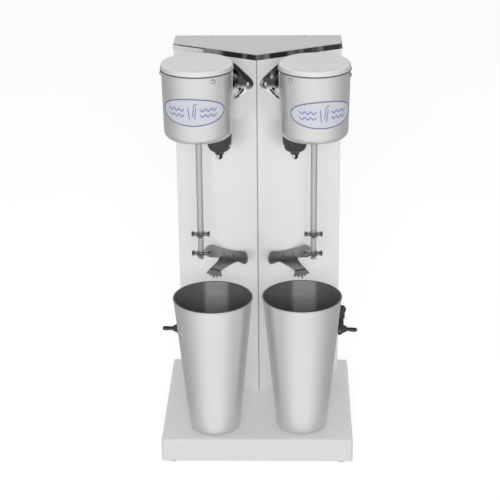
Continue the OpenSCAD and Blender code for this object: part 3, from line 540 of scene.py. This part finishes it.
# ---------- heads ----------

WALL = 1 * MM
SHELL_EDGE = 9 * MM
TAPER = 1.9 * MM


def shell_profile(low, high, top_r):
    """Closed profile of the deep-drawn shell, outside then inside."""
    low_r = top_r - TAPER
    hole_r = 12.2 * MM
    outside = [(hole_r, low)] + arc(low_r - SHELL_EDGE, low + SHELL_EDGE, SHELL_EDGE, -90, 0, 12)
    outside += [(top_r - 0.35 * MM, high - 0.5 * MM), (top_r - 0.5 * MM, high)]
    inside = [(top_r - WALL, high), (top_r - WALL, high - 2 * MM)]
    inside += arc(low_r - SHELL_EDGE, low + SHELL_EDGE, SHELL_EDGE - WALL, 0, -90, 12)
    inside += [(hole_r, low + WALL)]
    return outside + inside


def lid_profile(low, high, rim_r):
    """Closed profile of the lid: rim, rounded shoulder, flat top and skirt inside the shell."""
    shoulder = 4.6 * MM
    side_r = rim_r - 0.8 * MM
    seam = high - LID_SEAM
    skirt_r = rim_r - 2.4 * MM
    outside = [(skirt_r - WALL, low), (skirt_r, low), (skirt_r, seam + 0.4 * MM)]
    outside += arc(rim_r - 0.5 * MM, seam + 0.65 * MM, 0.5 * MM, -90, 60, 6)
    outside += [(side_r, seam + 2.2 * MM)]
    outside += arc(side_r - shoulder, high - shoulder - 0.25 * MM, shoulder, 0, 90, 12)
    outside += [(side_r * 0.6, high - 0.06 * MM), (0, high)]
    inside = [(0, high - WALL), (side_r - shoulder, high - WALL - 0.25 * MM)]
    inside += [(side_r - 2 * WALL, seam + 4 * MM), (skirt_r - WALL, seam + 1.5 * MM)]
    return outside + inside


BADGE_HALF_W = 44 * MM
BADGE_HALF_H = 17.6 * MM
BADGE_FACING = {"left": math.radians(-6), "right": math.radians(15)}


def on_shell(side, u, v, lift):
    """Point on the shell at u along the arc and v up from the badge's centre."""
    pos, low, high = spindle(side)
    middle = centre(side + "_badge")
    top_r = (high.x - low.x) / 2
    z = middle.z + v
    radius = top_r - TAPER * (high.z - z) / (high.z - low.z - SHELL_EDGE) + lift
    angle = BADGE_FACING[side] + u / top_r
    return Vector((pos.x + radius * math.sin(angle), pos.y - radius * math.cos(angle), z))


def build_badge_face(side):
    def build(shape):
        steps = 96
        rows = []
        levels = [(1.0, 0.05), (0.995, 0.32), (0.98, 0.42)] + [(0.9 - 0.1 * i, 0.45) for i in range(10)]
        for share, lift in levels:
            row = []
            for i in range(steps):
                angle = 2 * math.pi * i / steps
                u = BADGE_HALF_W * share * math.cos(angle)
                v = BADGE_HALF_H * share * math.sin(angle)
                row.append(on_shell(side, u, v, lift * MM))
            rows.append(row)
        add_grid(shape, rows)
    return build


def add_ribbon(shape, side, path, width, lift, closed=False):
    """Flat strip of ink along a path of (u, v) points on the badge."""
    points = [Vector(p) for p in path]
    count = len(points)
    left = []
    right = []
    for i, point in enumerate(points):
        after = points[(i + 1) % count] if closed or i + 1 < count else point
        before = points[i - 1] if closed or i > 0 else point
        along = (after - before).normalized()
        across = Vector((-along.y, along.x)) * (width / 2)
        left.append(on_shell(side, *(point + across), lift))
        right.append(on_shell(side, *(point - across), lift))
    add_grid(shape, [left, right], around=closed)


def build_badge_border(side):
    def build(shape):
        steps = 128
        path = []
        for i in range(steps):
            angle = 2 * math.pi * i / steps
            path.append(((BADGE_HALF_W - 1.2 * MM) * math.cos(angle),
                         (BADGE_HALF_H - 1.2 * MM) * math.sin(angle)))
        add_ribbon(shape, side, path, 1.3 * MM, 0.5 * MM, closed=True)
    return build


def build_badge_motif(side):
    """A tumbler with a straw, between two rows of waves on each side."""
    def build(shape):
        lift = 0.5 * MM
        strokes = [(-5, 7, -3.2, -8), (-3.6, -8, 3.6, -8), (3.2, -8, 5, 7), (-4.4, 3, 4.4, 3),
                   (0.4, -5, 2.6, 10), (2.4, 10, 6.4, 11)]
        for u0, v0, u1, v1 in strokes:
            add_ribbon(shape, side, [(u0 * MM, v0 * MM), (u1 * MM, v1 * MM)], 1.3 * MM, lift)
        for way in (-1, 1):
            for level in (-4, 3):
                wave = []
                for i in range(61):
                    u = 9.5 + 22 * i / 60
                    wave.append((way * u * MM, (level + 1.5 * math.sin(u * 0.86)) * MM))
                add_ribbon(shape, side, wave, 1.5 * MM, lift)
    return build


FLANGE_R = 25 * MM
LUG_R = 8 * MM
LUG_AT = 28.7 * MM
STEM_R = 18.5 * MM


def lug_radius(angle, round_r, lug_r, lug_at):
    """Distance from the flange's centre to its outline at an angle: a round plate with two lugs."""
    x, y = abs(math.cos(angle)), abs(math.sin(angle))
    lean = math.acos((round_r - lug_r) / lug_at)
    normal = (math.cos(lean), math.sin(lean))
    tangent = round_r / (x * normal[0] + y * normal[1])
    theta = math.atan2(y, x)
    if theta >= lean:
        return round_r
    root = lug_r ** 2 - (lug_at * y) ** 2
    if root > 0:
        reach = lug_at * x + math.sqrt(root)
        touch = math.atan2(lug_r * normal[1], lug_at + lug_r * normal[0])
        if theta <= touch:
            return reach
    return tangent


def build_neck(side):
    """Cast neck: its section changes from the two-bolt flange to a round stem."""
    def build(shape):
        pos, low, high = spindle(side)
        matrix = panel_frame(side)
        foot = matrix.inverted() @ Vector((pos.x, pos.y, 0))
        reach = -foot.y - (high.x - low.x) / 2 + 9 * MM
        flange_t = 3 * MM
        blend_depth = 17 * MM
        rows = []
        depths = [0.0, 0.15, flange_t / MM - 0.7, flange_t / MM - 0.2, flange_t / MM]
        insets = [0.4, 0.0, 0.0, 0.25, 0.8]
        for depth, inset in zip(depths, insets):
            rows.append(neck_row(matrix, foot, pos.z, depth * MM, 1.0, inset * MM))
        for i in range(1, 15):
            share = i / 14
            depth = flange_t + blend_depth * share ** 1.3
            left = 1 - share
            rows.append(neck_row(matrix, foot, pos.z, depth, left ** 2.6, 0.8 * MM * left))
        rows.append(neck_row(matrix, foot, pos.z, reach - 12 * MM, 0.0, 0))
        for bulge, depth in ((0.0, 11.2), (1.9, 10.8), (2.5, 10.2), (2.5, 0)):
            rows.append(neck_row(matrix, foot, pos.z, reach - depth * MM, 0.0, -bulge * MM))
        add_grid(shape, rows, caps=True)
    return build


def neck_row(matrix, foot, z, depth, share, inset, steps=96):
    """One loop of the neck: share 1 gives the flange's outline and share 0 the round stem."""
    row = []
    for i in range(steps):
        angle = 2 * math.pi * i / steps
        wide = lug_radius(angle, FLANGE_R, LUG_R, LUG_AT)
        radius = STEM_R + (wide - STEM_R) * share - inset
        across, rise = radius * math.cos(angle), radius * math.sin(angle)
        row.append(matrix @ Vector((foot.x + across, -depth, z + rise)))
    return row


def build_neck_leg(side):
    """Short round leg from the neck down to the cup switch."""
    def build(shape):
        matrix = panel_frame(side)
        pos = spindle(side)[0]
        foot = matrix.inverted() @ Vector((pos.x, pos.y, 0))
        low_z = boxes[side + "_switch_housing"][1].z
        place = matrix @ Matrix.Translation((foot.x, -16 * MM, 0))
        profile = [(0, low_z), (10.6 * MM, low_z)]
        profile += arc(10.6 * MM, low_z + 0.9 * MM, 0.9 * MM, -90, 0, 4)
        profile += [(11.2 * MM, low_z + 14 * MM), (12.5 * MM, low_z + 22 * MM), (9 * MM, pos.z)]
        add_lathe(shape, place, profile, 64)
    return build


def build_switch_bowl(side):
    """Rubber bowl of the cup switch, narrowing round the ball that carries the lever."""
    def build(shape):
        ball_low, ball_high = boxes[side + "_lever_boot"]
        low, high = boxes[side + "_switch_housing"]
        middle = (ball_low + ball_high) / 2
        ball_r = (ball_high.x - ball_low.x) / 2
        wide = ball_r + 3 * MM
        lip = low.z - 5 * MM
        lip_r = ball_r * 0.80
        rise = 15 * MM
        profile = [(0, lip + 3 * MM), (lip_r, lip)]
        for i in range(1, 17):
            angle = math.pi / 2 * i / 16
            across = lip_r + (wide - lip_r) * math.sin(angle)
            profile.append((across, lip + rise * (1 - math.cos(angle))))
        profile += [(wide, high.z - 1.5 * MM), (wide - 1.5 * MM, high.z), (0, high.z)]
        add_lathe(shape, Matrix.Translation((middle.x, middle.y, 0)), profile, 96)
    return build


def build_heads():
    for side in SIDES:
        pos, low, high = spindle(side)
        stand = Matrix.Translation((pos.x, pos.y, 0))
        top_r = (high.x - low.x) / 2
        shell = shell_profile(low.z, high.z, top_r)
        piece_from(side + "_shell", lambda s, m=stand, p=shell: add_lathe(s, m, p, 160, True), head_steel,
                   "frame", (side + "_head_shell",))
        lid_low, lid_high = boxes[side + "_head_lid"]
        lid = lid_profile(lid_low.z, lid_high.z, (lid_high.x - lid_low.x) / 2)
        piece_from(side + "_lid", lambda s, m=stand, p=lid: add_lathe(s, m, p, 160, True), lid_steel,
                   "frame", (side + "_head_lid",), 50)
        piece_from(side + "_badge_face", build_badge_face(side), badge_pale, "frame",
                   (side + "_badge",))
        piece_from(side + "_badge_border", build_badge_border(side), badge_blue, "frame")
        piece_from(side + "_badge_motif", build_badge_motif(side), badge_ink, "frame")
        piece_from(side + "_neck_casting", build_neck(side), neck_chrome, "frame",
                   (side + "_neck",))
        piece_from(side + "_neck_leg", build_neck_leg(side), chrome, "frame")
        piece_from(side + "_switch_bowl", build_switch_bowl(side), black_rubber, "frame",
                   (side + "_switch_housing",))


build_heads()


# ---------- cup rests ----------

REST_BOW = 60 * MM
REST_T = 1.5 * MM
WAIST = 12.4 * MM
REST_END_H = 16.6 * MM
REST_HALF = 32 * MM
TONGUE_OUT = 38 * MM
TONGUE_HALF = 7.7 * MM
ROOT_HALF = 18 * MM
TONGUE_SLOPE = math.radians(3.5)
LIP_SLOPE = math.radians(50)
LIP_HALF = 11.3 * MM
LIP_LONG = 6 * MM
TEETH = (1.2 * MM, 3.4 * MM, 5.6 * MM, 3.4 * MM, 1.2 * MM)


def band_top(x, half):
    """Height of the band's top edge: two round ends and a waist between them."""
    end_r = REST_END_H / 2
    span = half - end_r
    if abs(x) > span:
        return end_r + math.sqrt(max(end_r ** 2 - (abs(x) - span) ** 2, 0))
    return WAIST + (REST_END_H - WAIST) * (x / span) ** 2


def band_bottom(x, half):
    end_r = REST_END_H / 2
    span = half - end_r
    if abs(x) > span:
        return end_r - math.sqrt(max(end_r ** 2 - (abs(x) - span) ** 2, 0))
    return 0.0


def rest_place(side):
    """Frame of a rest: on its panel, below the neck, at the foot of the band."""
    matrix = panel_frame(side)
    pos = spindle(side)[0]
    along = (matrix.inverted() @ Vector((pos.x, pos.y, 0))).x
    return matrix @ Matrix.Translation((along, 0, boxes[side + "_cup_rest"][1].z - REST_END_H))


def build_band(side):
    def build(shape):
        place = rest_place(side)
        half = REST_HALF
        lean = 2.2 * MM
        front = []
        back = []
        steps = 64
        levels = 10
        for i in range(levels + 1):
            face = []
            rear = []
            for j in range(steps + 1):
                x = half * math.sin(math.pi / 2 * (2 * j / steps - 1))
                share = i / levels
                z = band_bottom(x, half) * (1 - share) + band_top(x, half) * share
                bow = REST_BOW - math.sqrt(REST_BOW ** 2 - x ** 2)
                out = bow + lean * (1 - z / REST_END_H) + 0.25 * MM
                crown = 0.5 * MM * math.sin(math.pi * share)
                face.append(place @ Vector((x, -out - REST_T - crown, z)))
                rear.append(place @ Vector((x, -out - crown, z)))
            front.append(face)
            back.append(rear)
        add_grid(shape, front + back[::-1], around=False, closed=True)
        outwards = Matrix.Rotation(math.pi / 2, 4, "X")
        for dx in (-8 * MM, 8 * MM):
            stud = place @ Matrix.Translation((dx, -2.4 * MM, 7 * MM)) @ outwards
            dome = [(4.4 * MM, -1 * MM)] + arc(0, -2.4 * MM, 4.6 * MM, 25, 90, 8)
            add_lathe(shape, stud, dome, 32)
    return build


def tongue_half(share):
    """Half width of the tongue, narrowing on an arc from its root to the crease."""
    sweep = ROOT_HALF - TONGUE_HALF
    return TONGUE_HALF + sweep * (1 - math.sqrt(1 - (1 - share) ** 2)) if share < 1 else TONGUE_HALF


def tooth_reach(across):
    """How far the lip's edge reaches beyond its corners, at a place from -1 to 1 across it."""
    spot = (across + 1) / 2 * len(TEETH)
    index = min(int(spot), len(TEETH) - 1)
    valley = 0.6 * MM if 0.1 < spot < len(TEETH) - 0.1 else 0
    peak = 1 - abs(2 * (spot - index) - 1)
    return valley + (TEETH[index] - valley) * peak


def build_tongue(side):
    """Tongue from the band's foot out to the crease, then the bent lip with its teeth."""
    def build(shape):
        place = rest_place(side) @ Matrix.Rotation(TONGUE_SLOPE, 4, "X")
        start = 2.2 * MM
        stations = [(start, 0, ROOT_HALF - 0.2 * MM, 0)]
        for i in range(1, 21):
            share = i / 20
            stations.append((start + (TONGUE_OUT - start) * share, 0, tongue_half(share), 0))
        for i in range(1, 11):
            reach = LIP_LONG * i / 10
            half = TONGUE_HALF + (LIP_HALF - TONGUE_HALF) * i / 10
            stations.append((TONGUE_OUT + reach * math.cos(LIP_SLOPE), -reach * math.sin(LIP_SLOPE),
                             half, LIP_SLOPE))
        columns = 50
        upper = []
        lower = []
        for i, (out, rise, half, slope) in enumerate(stations):
            for level, thickness in ((upper, REST_T), (lower, 0)):
                row = []
                for j in range(columns + 1):
                    across = 2 * j / columns - 1
                    reach = tooth_reach(across) if i == len(stations) - 1 else 0
                    y = out + thickness * math.sin(slope) + reach * math.cos(LIP_SLOPE)
                    z = rise + thickness * math.cos(slope) - reach * math.sin(LIP_SLOPE)
                    row.append(place @ Vector((half * across, -y, z)))
                level.append(row)
        add_grid(shape, upper + lower[::-1], around=False, closed=True)
        for edge in (0, columns):
            for i in range(len(stations) - 1):
                corners = (upper[i][edge], upper[i + 1][edge], lower[i + 1][edge], lower[i][edge])
                shape.faces.new([shape.verts.new(corner) for corner in corners])
    return build


for side in SIDES:
    piece_from(side + "_rest_band", build_band(side), rest_dark, "frame", (side + "_cup_rest",))
    piece_from(side + "_rest_tongue", build_tongue(side), rest_steel, "frame")


# ---------- agitators ----------

def build_rod(side):
    def build(shape):
        pos = spindle(side)[0]
        low, high = boxes[side + "_agitator_rod"]
        step = boxes[side + "_agitator_discs"][1].z + 3 * MM
        thick = (high.x - low.x) / 2
        thin = thick - 0.5 * MM
        profile = [(0, low.z), (thin - 0.9 * MM, low.z), (thin, low.z + 0.9 * MM), (thin, step)]
        profile += [(thick, step + 0.6 * MM), (thick, high.z - 0.6 * MM), (thick - 0.5 * MM, high.z)]
        profile += [(0, high.z)]
        add_lathe(shape, Matrix.Translation((pos.x, pos.y, 0)), profile, 48)
    return build


def crimped_disc(shape, place, radius, bore, height):
    """Disc whose rim is pressed into waves, with a small hub."""
    steps = 120
    rings = 9
    thickness = 1.1 * MM
    wave = 1.7 * MM
    faces = []
    for lift in (thickness / 2, -thickness / 2):
        rows = []
        for i in range(rings + 1):
            share = i / rings
            r = bore + (radius - bore) * share
            row = []
            for j in range(steps):
                angle = 2 * math.pi * j / steps
                press = math.sin(5 * angle)
                z = height + lift + wave * share ** 1.4 * math.copysign(abs(press) ** 0.7, press)
                row.append(place @ Vector((r * math.cos(angle), r * math.sin(angle), z)))
            rows.append(row)
        faces.append(rows)
    add_grid(shape, faces[0] + faces[1][::-1], closed=True)
    hub = [(bore, height), (5 * MM, height + 0.4 * MM), (5 * MM, height + 2.4 * MM),
           (4.6 * MM, height + 2.9 * MM), (bore, height + 2.9 * MM)]
    add_lathe(shape, place, hub, 40)


def build_discs(side):
    def build(shape):
        pos = spindle(side)[0]
        low, high = boxes[side + "_agitator_discs"]
        half_wave = 2.5 * MM
        radius = (high.x - low.x) / 2 - 0.1 * MM
        place = Matrix.Translation((pos.x, pos.y, 0))
        crimped_disc(shape, place, radius, 3.52 * MM, low.z + half_wave)
        crimped_disc(shape, place, radius, 3.52 * MM, high.z - 3 * MM)
    return build


for side in SIDES:
    piece_from(side + "_rod", build_rod(side), rod_steel, side + "_spindle",
               (side + "_agitator_rod",))
    piece_from(side + "_discs", build_discs(side), disc_chrome, side + "_spindle",
               (side + "_agitator_discs",))


# ---------- cups ----------

def cup_profiles(low, high, rim_r):
    """Outside with the rolled rim, and the lining, as open profiles."""
    wall = 0.8 * MM
    bead = 1.1 * MM
    wall_r = rim_r - 0.7 * MM
    foot_r = 31.6 * MM
    slope = (wall_r - foot_r) / (high - low)
    edge = 5 * MM
    lean = math.atan(slope)
    edge_x = foot_r + slope * edge - edge / math.cos(lean)
    tilt = math.degrees(lean)
    outside = [(0, low + 1.2 * MM), (edge_x - 4 * MM, low + 1.2 * MM), (edge_x - 2.5 * MM, low)]
    outside += arc(edge_x, low + edge, edge, -90, -tilt, 10)
    outside += [(wall_r - 3 * bead * slope, high - 3 * bead)]
    outside += arc(wall_r - 0.5 * MM, high - bead, bead, -55, 150, 14)
    lining = [outside[-1], (wall_r - wall - 0.4 * MM, high - 2.4 * bead)]
    lining += arc(edge_x, low + edge, edge - wall, -tilt, -90, 10)
    lining += [(edge_x * 0.5, low + 1.5 * MM), (0, low + 1.6 * MM)]
    return outside, lining


for side in SIDES:
    cup_low, cup_high = boxes[side + "_cup"]
    place = Matrix.Translation(((cup_low.x + cup_high.x) / 2, (cup_low.y + cup_high.y) / 2, 0))
    outer, lining = cup_profiles(cup_low.z, cup_high.z, (cup_high.x - cup_low.x) / 2)
    body = side + "_cup_loose"
    piece_from(side + "_cup_wall", lambda s, m=place, p=outer: add_lathe(s, m, p, 160), cup_steel,
               body, (side + "_cup",))
    piece_from(side + "_cup_lining", lambda s, m=place, p=lining: add_lathe(s, m, p, 160), cup_lining,
               body)


# ---------- studio ----------

def build_world():
    """White backdrop for the camera; reflections see a bright front, dimmer sides and a dark ceiling."""
    world = bpy.data.worlds.new("studio")
    bpy.context.scene.world = world
    world.use_nodes = True
    tree = world.node_tree
    tree.nodes.clear()
    link = tree.links.new

    x, y, z = [coordinate(tree, "Generated", axis) for axis in range(3)]
    elevation = calc(tree, "ARCSINE", calc(tree, "MINIMUM", calc(tree, "MAXIMUM", z, -1.0), 1.0))
    azimuth = calc(tree, "ABSOLUTE", calc(tree, "ARCTAN2", x, calc(tree, "MULTIPLY", y, -1.0)))
    sides = calc(tree, "MULTIPLY_ADD", step_up(tree, azimuth, 0.35, 2.0), -0.6, 1.0)
    ceiling = calc(tree, "MULTIPLY_ADD", step_up(tree, elevation, 0.6, 0.95), -0.93, 1.0)
    above_floor = step_up(tree, elevation, -0.05, 0.15)
    back_wall = calc(tree, "MULTIPLY", step_up(tree, azimuth, 2.0, 2.6), above_floor)
    level = calc(tree, "MULTIPLY", calc(tree, "MULTIPLY_ADD", back_wall, 0.35, sides), ceiling)
    reflected = tree.nodes.new("ShaderNodeBackground")
    reflected.inputs["Color"].default_value = (1, 1, 1, 1)
    link(level, reflected.inputs["Strength"])
    plain = tree.nodes.new("ShaderNodeBackground")
    plain.inputs["Color"].default_value = (1, 1, 1, 1)
    rays = tree.nodes.new("ShaderNodeLightPath")
    link(calc(tree, "MULTIPLY_ADD", rays.outputs["Is Camera Ray"], 0.36, 0.64), plain.inputs["Strength"])
    mix = tree.nodes.new("ShaderNodeMixShader")
    link(rays.outputs["Is Glossy Ray"], mix.inputs["Fac"])
    link(plain.outputs[0], mix.inputs[1])
    link(reflected.outputs[0], mix.inputs[2])
    output = tree.nodes.new("ShaderNodeOutputWorld")
    link(mix.outputs[0], output.inputs["Surface"])


def build_floor():
    mesh = bpy.data.meshes.new("floor")
    half = 8.0
    corners = [(-half, -half, 0), (half, -half, 0), (half, half, 0), (-half, half, 0)]
    mesh.from_pydata(corners, [], [(0, 1, 2, 3)])
    floor = bpy.data.objects.new("floor", mesh)
    bpy.context.scene.collection.objects.link(floor)
    material, tree, shader = new_material("floor_paper")
    shader.inputs["Roughness"].default_value = 0.9
    shader.inputs["Specular IOR Level"].default_value = 0.0
    shader.inputs["Emission Color"].default_value = (1, 1, 1, 1)
    shader.inputs["Emission Strength"].default_value = 0.68
    mottle = spread(tree, add_noise(tree, (3, 3, 3)), 0.995, 1.005)
    tree.links.new(tinted(tree, (0.42, 0.42, 0.42), mottle), shader.inputs["Base Color"])
    mesh.materials.append(material)
    floor.visible_glossy = False


def add_softbox(name, place, target, size, watts):
    light = bpy.data.lights.new(name, "AREA")
    light.size = size
    light.energy = watts
    lamp = bpy.data.objects.new(name, light)
    lamp.location = place
    lamp.rotation_euler = (Vector(target) - Vector(place)).to_track_quat("-Z", "Y").to_euler()
    lamp.visible_glossy = False
    bpy.context.scene.collection.objects.link(lamp)


def build_camera():
    """Camera at the photograph's viewing angle."""
    azimuth = math.radians(1.64)
    pitch = math.radians(22.32)
    roll = math.radians(-0.567)
    forward = Vector((-math.sin(azimuth) * math.cos(pitch), math.cos(azimuth) * math.cos(pitch),
                      -math.sin(pitch)))
    level_right = Vector((math.cos(azimuth), math.sin(azimuth), 0))
    level_up = level_right.cross(forward)
    right = level_right * math.cos(roll) + level_up * math.sin(roll)
    up = level_up * math.cos(roll) - level_right * math.sin(roll)
    data = bpy.data.cameras.new("camera")
    data.sensor_width = 36
    data.lens = 112.44
    camera = bpy.data.objects.new("camera", data)
    turn = Matrix((right, up, -forward)).transposed().to_4x4()
    camera.matrix_world = Matrix.Translation((0.0428, -1.8337, 0.9982)) @ turn
    bpy.context.scene.collection.objects.link(camera)
    bpy.context.scene.camera = camera


build_world()
build_floor()
add_softbox("key_light", place=(0.02, -2.3, 1.0), target=(0, 0, 0.25), size=0.9, watts=44)
build_camera()
bpy.context.scene.view_settings.view_transform = "Standard"
